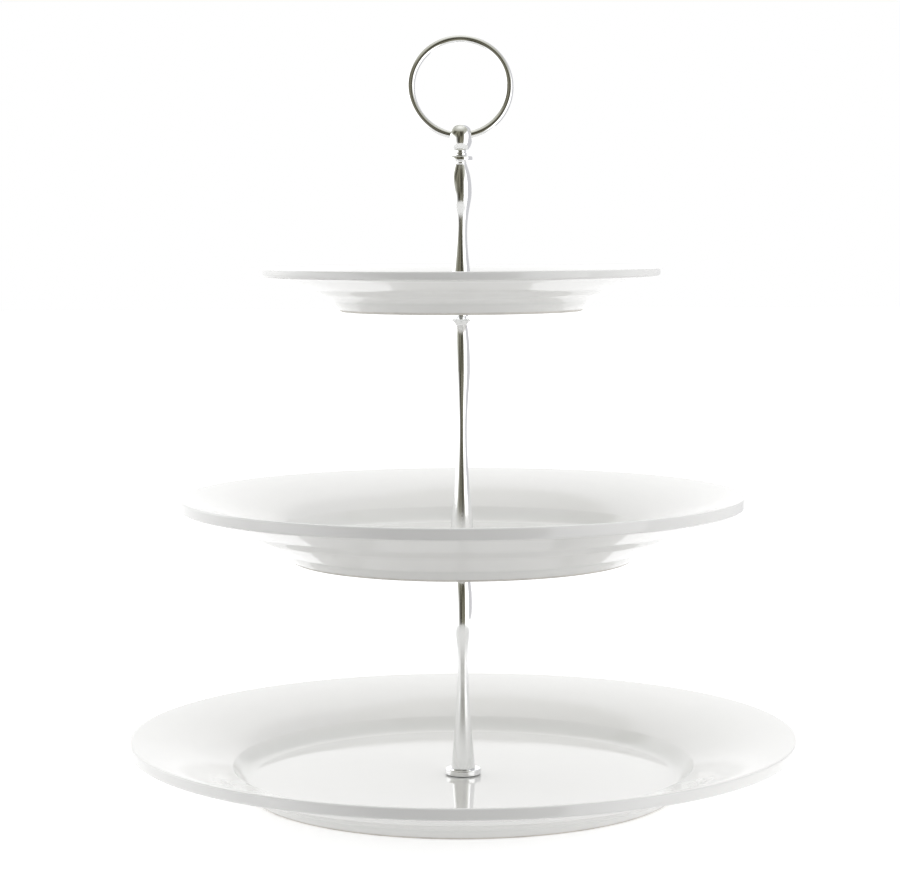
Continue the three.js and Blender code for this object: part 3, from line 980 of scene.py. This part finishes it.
class MakeBaseScrew(bpy.types.Operator):
    """Make the slotted screw that holds the lower plate to the rod from below"""

    bl_idname = "cake_stand.make_base_screw"
    bl_label = "Make base screw"

    def execute(self, context):
        stand = context.scene.cake_stand
        fittings = stand.fittings
        stud, pitch, head = fittings.thread_radius, fittings.thread_pitch, fittings.screw_head
        low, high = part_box("base_screw")
        total = high.z - low.z
        outline = Outline(0.0, 0.0)
        outline.corner(high.x, 0.0, SCREW_HEAD_ROUND, (1, 0), (0, 1))
        outline.line(high.x, head - EDGE_ROUND)
        outline.line(high.x - EDGE_ROUND, head)
        outline.line(stud, head)
        add_stud(outline, stud, pitch, total)
        cut = thread_cut(stud, pitch, head + SMALL_CHAMFER, total)
        made = turned(outline, ROD_SEGMENTS, low.z, cut)
        screw = finished_object("base_screw_body", made, [steel(stand.finishes)])
        slot = bmesh.new()
        bmesh.ops.create_cube(slot, size=1.0)
        reach = (SLOT_CUTTER * high.x, fittings.slot_width, 2 * fittings.slot_depth)
        bmesh.ops.scale(slot, verts=slot.verts, vec=reach)
        bmesh.ops.translate(slot, verts=slot.verts, vec=(0.0, 0.0, low.z))
        combine(screw, finished_object("slot_cutter", slot, []), "DIFFERENCE")
        put(screw, "stand", "base_screw")
        return {"FINISHED"}


# ------------------------------------------------------------------ finial and ring

MOUTH_ROUND = 0.45 * MM  # rounding of the hole's two mouths
SOCKET_HEIGHT = 3.35 * MM  # of the hollow for the handle's stud
BALL_STEPS = 48


def hinge_height():
    return frame["joints"][0]["pos_m"][2]


def ring_bend(sizes):
    """Radius of the ring's wire line, and how far that line rises across the ball."""
    low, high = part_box("ring_handle")
    bend = (high.x - low.x) / 2 - sizes.wire_radius
    return bend, bend - math.sqrt(bend**2 - sizes.ball_radius**2)


def drilled_ball(sizes, hole, widest, seat):
    """A bmesh of the drawn-out ball, drilled along X at the hinge and cut off flat at seat.

    A round ball with rounded mouths is turned about X, then its skin is moved out to the
    drawn-out shape, which is widest a little below the hole. The hole keeps its own shape.
    """
    radius = sizes.ball_radius
    mouth = math.sqrt((radius - MOUTH_ROUND) ** 2 - (hole + MOUTH_ROUND) ** 2)
    lean = math.degrees(math.atan2(hole + MOUTH_ROUND, mouth))
    outline = Outline(hole, 0.0)
    outline.line(hole, mouth)
    outline.arc((hole + MOUTH_ROUND, mouth), MOUTH_ROUND, 180, 90 - lean)
    outline.arc((0.0, 0.0), radius, 90 - lean, lean - 90, steps=BALL_STEPS)
    outline.arc((hole + MOUTH_ROUND, -mouth), MOUTH_ROUND, lean - 90, -180)
    outline.line(hole, 0.0)
    made = turned(outline, ROD_SEGMENTS)
    bmesh.ops.rotate(made, verts=made.verts, matrix=Matrix.Rotation(math.pi / 2, 3, "Y"))
    drop = Vector((0.0, 0.0, hinge_height() - widest))
    for vertex in made.verts:
        about_axis = math.hypot(vertex.co.y, vertex.co.z)
        skin = min(1.0, max(0.0, (about_axis - hole) / MOUTH_ROUND))
        way = (vertex.co + drop).normalized()
        upright = way.z / (radius if way.z > 0 else sizes.ball_drop)
        reach = 1.0 / math.hypot(math.hypot(way.x, way.y) / radius, upright)
        depth = vertex.co.length / radius
        vertex.co = vertex.co.lerp(way * reach * min(1.0, depth) - drop, skin)
    bmesh.ops.translate(made, verts=made.verts, vec=(0.0, 0.0, hinge_height()))
    cut = bmesh.ops.bisect_plane(
        made,
        geom=[*made.verts, *made.edges, *made.faces],
        plane_co=(0.0, 0.0, seat),
        plane_no=(0.0, 0.0, 1.0),
        clear_inner=True,
    )
    rim = [edge for edge in cut["geom_cut"] if isinstance(edge, bmesh.types.BMEdge)]
    bmesh.ops.contextual_create(made, geom=rim)
    return made


class MakeFinial(bpy.types.Operator):
    """Make the drilled ball on the handle and the washer under it"""

    bl_idname = "cake_stand.make_finial"
    bl_label = "Make finial"

    def execute(self, context):
        stand = context.scene.cake_stand
        sizes = stand.ring
        thread = stand.fittings.finial_thread_radius
        low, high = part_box("finial_ball")
        _, sagitta = ring_bend(sizes)
        hole = sizes.wire_radius + sagitta / 2 + sizes.hole_spare
        seat = low.z + sizes.neck_height
        widest = seat + sizes.ball_drop * math.sqrt(1 - (sizes.ball_foot / sizes.ball_radius) ** 2)
        made = drilled_ball(sizes, hole, widest, seat)
        ball = finished_object("finial_ball_body", made, [chrome(stand.finishes)])
        neck = Outline(0.0, 0.0)
        neck.corner(sizes.neck_radius, 0.0, EDGE_ROUND, (1, 0), (0, 1))
        neck.line(sizes.neck_radius, sizes.neck_height + EDGE_ROUND)
        neck.line(0.0, sizes.neck_height + EDGE_ROUND)
        socket = Outline(0.0, -SOCKET_HEIGHT)
        socket.line(thread + THREAD_CLEARANCE, -SOCKET_HEIGHT)
        socket.line(thread + THREAD_CLEARANCE, SOCKET_HEIGHT)
        socket.line(0.0, SOCKET_HEIGHT)
        for name, outline, operation in (("neck", neck, "UNION"), ("socket", socket, "DIFFERENCE")):
            other = finished_object(name, turned(outline, ROD_SEGMENTS, low.z), [])
            combine(ball, other, operation)
        put(ball, "stand", "finial_ball")

        low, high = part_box("finial_washer")
        rounding = EDGE_ROUND * 2
        outline = ring_outline(thread + THREAD_CLEARANCE, high.x, high.z - low.z, rounding, rounding)
        add_turned("finial_washer_body", "finial_washer", outline, chrome(stand.finishes))
        return {"FINISHED"}


SEAM_DEPTH = 0.08 * MM  # where the wire's two ends meet, inside the ball
SIDEWAYS = Vector((0.0, 1.0, 0.0))


class MakeRing(bpy.types.Operator):
    """Make the wire ring that swings in the ball"""

    bl_idname = "cake_stand.make_ring"
    bl_label = "Make ring handle"

    def execute(self, context):
        stand = context.scene.cake_stand
        wire = stand.ring.wire_radius
        bend, sagitta = ring_bend(stand.ring)
        centre = Vector((0.0, 0.0, bend - sagitta / 2))
        made = bmesh.new()
        rows = []
        for i in range(RING_SEGMENTS):
            angle = math.tau * i / RING_SEGMENTS
            outward = Vector((math.sin(angle), 0.0, -math.cos(angle)))
            at = outward * bend + centre
            radius = wire - (SEAM_DEPTH if i == 0 else 0.0)
            row = []
            for j in range(WIRE_SEGMENTS):
                around = math.tau * j / WIRE_SEGMENTS
                step = outward * math.cos(around) + SIDEWAYS * math.sin(around)
                row.append(made.verts.new(at + step * radius))
            rows.append(row)
        for i, row in enumerate(rows):
            after = rows[(i + 1) % RING_SEGMENTS]
            for j in range(WIRE_SEGMENTS):
                k = (j + 1) % WIRE_SEGMENTS
                made.faces.new((row[j], row[k], after[k], after[j]))
        leaned = Matrix.Rotation(-stand.ring.lean, 3, "X")
        bmesh.ops.rotate(made, verts=made.verts, matrix=leaned)
        bmesh.ops.translate(made, verts=made.verts, vec=(0.0, 0.0, hinge_height()))
        piece = finished_object("ring_handle_wire", made, [chrome(stand.finishes)])
        put(piece, "ring", "ring_handle")
        return {"FINISHED"}


# ------------------------------------------------------------------ studio

FLOOR_REACH = 6.0  # metres
CLIPPING = (0.01, 50.0)  # nearest and furthest that the camera sees
GLOSSY_BOUNCES = 12  # light skims along the hollow glazed rims in many small steps
EDGE_SOFTNESS = math.radians(2)
ROOM_SOFTNESS = math.radians(3)
CEILING_SOFTNESS = math.radians(6)
CEILING_RISE = (math.radians(48), math.radians(85))
GLOOM_RISE = (math.radians(6), math.radians(20))  # where the room widens to the left
GLOOM_LEFT = math.radians(22)  # how much further left it starts there
GLOOM_FULL = math.radians(50)  # and how much further left it is fully dark
BACKDROP_SIDES = (math.radians(125), math.radians(150))
TOP_LIGHT_RISE = (math.radians(24), math.radians(46))
CLUTTER_SCALE = 3.2  # upright shapes in the room
CLUTTER_STRETCH = 0.25
CLUTTER_EDGES = (0.42, 0.6)
FLOOR_GRAIN = 40.0
FLOOR_GRAIN_SHADE = 0.99


def ray_kinds(shader):
    """1 for rays that see the background straight on, and 1 for those in metal or glass."""
    path = shader.node("ShaderNodeLightPath", output=None)
    camera, glossy, through = (
        Wire(shader, path.outputs[name])
        for name in ("Is Camera Ray", "Is Glossy Ray", "Is Transmission Ray")
    )
    return camera, shader.maths("MAXIMUM", glossy, through)


def make_world(studio):
    """What surrounds the stand, by the direction that a ray leaves in.

    Metal and glaze show white paper, a dark room in front, a grey wall on the right and a dim
    ceiling. Other surfaces are lit from there at plain levels, and the camera sees plain white.
    """
    world = bpy.data.worlds.new("studio")
    bpy.context.scene.world = world
    shader = Shader(world)
    direction = shader.node("ShaderNodeTexCoord", output="Generated")
    x, y, z = shader.split(direction)
    azimuth = shader.maths("ARCTAN2", x, y * -1.0)
    height = shader.maths("ARCSINE", z)
    camera, mirrored = ray_kinds(shader)

    def past(value, edge, softness=EDGE_SOFTNESS):
        return shader.step(value, edge - softness, edge + softness)

    wall = past(azimuth, studio.wall_start) * (1.0 - past(azimuth, studio.wall_end, CEILING_SOFTNESS))
    behind = shader.step(shader.maths("ABSOLUTE", azimuth), *BACKDROP_SIDES)
    paper = shader.blend(studio.paper, studio.backdrop, behind)
    paper = shader.blend(paper, studio.wall, wall)

    middle = (studio.paper_left + studio.paper_right) / 2
    across = (studio.paper_right - studio.paper_left) / 2 * shader.maths("SINE", azimuth)
    rise = (studio.paper_back - middle) * shader.maths("COSINE", azimuth)
    above_paper = past(height - (middle + across - rise), 0.0, CEILING_SOFTNESS)
    overhead = shader.step(height, *CEILING_RISE)
    ceiling = shader.blend(studio.ceiling_side, studio.ceiling_top, overhead)
    surround = shader.blend(paper, ceiling, above_paper)

    widened = shader.step(height, *GLOOM_RISE)
    left = shader.step(
        azimuth, studio.room_left - GLOOM_LEFT * widened, studio.room_full - GLOOM_FULL * widened
    )
    room = left * (1.0 - past(azimuth, studio.room_right, ROOM_SOFTNESS))
    low_room = room * (1.0 - past(height, studio.room_top, CEILING_SOFTNESS))
    clutter = shader.noise(shader.join(azimuth, height * CLUTTER_STRETCH, 0.0), CLUTTER_SCALE)
    gloom = shader.blend(studio.room_core, studio.room, shader.step(clutter, *CLUTTER_EDGES))
    seen = shader.blend(surround, gloom, low_room)

    def toward(light, other, part):
        return part * (other - light) + light

    light = toward(studio.light_sides, studio.light_back, behind)
    light = toward(light, studio.light_wall, wall)
    light = toward(light, past(height, 0.0) * studio.light_front, room)
    light = toward(light, studio.light_top, shader.step(height, *TOP_LIGHT_RISE))

    def background(shade, strength):
        return shader.node("ShaderNodeBackground", sockets={"Color": shade, "Strength": strength})

    lit = background(opaque(studio.paper), light)
    shown = background(seen, studio.shine)
    plain = background(opaque(studio.paper), 1.0)
    indirect = shader.node("ShaderNodeMixShader", sockets={0: mirrored, 1: lit, 2: shown})
    shader.output(shader.node("ShaderNodeMixShader", sockets={0: camera, 1: indirect, 2: plain}))


def floor_material(studio):
    """Pale paper on a light table: it shows white where nothing shades it."""
    material = bpy.data.materials.new("pale floor")
    shader = Shader(material)
    grain = shader.noise(shader.place(), FLOOR_GRAIN)
    shade = shader.blend(studio.floor, darker(studio.floor, FLOOR_GRAIN_SHADE), grain)
    paper = shader.node("ShaderNodeBsdfDiffuse", sockets={"Color": shade})
    camera, mirrored = ray_kinds(shader)
    glow = studio.floor_glow + studio.floor_lift * shader.maths("MAXIMUM", camera, mirrored)
    light = shader.node("ShaderNodeEmission", sockets={"Color": opaque(studio.paper), "Strength": glow})
    shader.output(shader.node("ShaderNodeAddShader", sockets={0: paper, 1: light}))
    return material


def make_floor(studio):
    """The table under the stand, and what lies beyond its edges in front and on the right.

    The wall shows in metal over the right edge, and only the camera sees the part in front.
    """
    material = floor_material(studio)
    front, right = -studio.floor_front, studio.floor_right
    for name, left, far_right, near, far in (
        ("table", -FLOOR_REACH, right, front, FLOOR_REACH),
        ("right_floor", right, FLOOR_REACH, front, FLOOR_REACH),
        ("front_floor", -FLOOR_REACH, FLOOR_REACH, -FLOOR_REACH, front),
    ):
        made = bmesh.new()
        corners = [(left, near), (far_right, near), (far_right, far), (left, far)]
        made.faces.new([made.verts.new((x, y, 0.0)) for x, y in corners])
        floor = finished_object(name, made, [material])
        floor.visible_glossy = name == "table"
        floor.visible_transmission = name == "table"
        floor.visible_diffuse = name != "front_floor"


def make_camera(studio):
    camera = bpy.data.objects.new("camera", bpy.data.cameras.new("camera"))
    bpy.context.scene.collection.objects.link(camera)
    camera.data.lens = studio.lens
    camera.data.clip_start, camera.data.clip_end = CLIPPING
    camera.matrix_world = (
        Matrix.Translation((0.0, -studio.distance, studio.height))
        @ Matrix.Rotation(studio.turn, 4, "Z")
        @ Matrix.Rotation(math.pi / 2 - studio.tilt, 4, "X")
        @ Matrix.Rotation(studio.roll, 4, "Z")
    )
    bpy.context.scene.camera = camera


class MakeStudio(bpy.types.Operator):
    """Make the floor, the light and the camera"""

    bl_idname = "cake_stand.make_studio"
    bl_label = "Make studio"

    def execute(self, context):
        studio = context.scene.cake_stand.studio
        make_world(studio)
        make_floor(studio)
        make_camera(studio)
        context.scene.view_settings.view_transform = "Standard"
        context.scene.cycles.glossy_bounces = GLOSSY_BOUNCES
        return {"FINISHED"}


# ------------------------------------------------------------------ add-on


MAKERS = (
    MakeStudio,
    MakePlates,
    MakeRods,
    MakeCollars,
    MakeSupportNuts,
    MakeSoftWashers,
    MakeBaseScrew,
    MakeFinial,
    MakeRing,
)


class CakeStandPanel(bpy.types.Panel):
    """Lists what makes the stand"""

    bl_idname = "VIEW3D_PT_cake_stand"
    bl_label = "Cake stand"
    bl_space_type = "VIEW_3D"
    bl_region_type = "UI"
    bl_category = "Cake stand"

    def draw(self, context):
        for maker in MAKERS:
            self.layout.operator(maker.bl_idname)


CLASSES = (
    LowerPlateSizes,
    MiddlePlateSizes,
    TopPlateSizes,
    LowerRodSizes,
    MiddleRodSizes,
    HandleRodSizes,
    FittingSizes,
    RingSizes,
    Finishes,
    Studio,
    CakeStand,
    *MAKERS,
    CakeStandPanel,
)


def register():
    for made in CLASSES:
        bpy.utils.register_class(made)
    bpy.types.Scene.cake_stand = PointerProperty(type=CakeStand)


def unregister():
    del bpy.types.Scene.cake_stand
    for made in reversed(CLASSES):
        bpy.utils.unregister_class(made)


def main():
    register()
    for maker in MAKERS:
        group, name = maker.bl_idname.split(".")
        getattr(getattr(bpy.ops, group), name)()


if __name__ == "__main__":
    main()
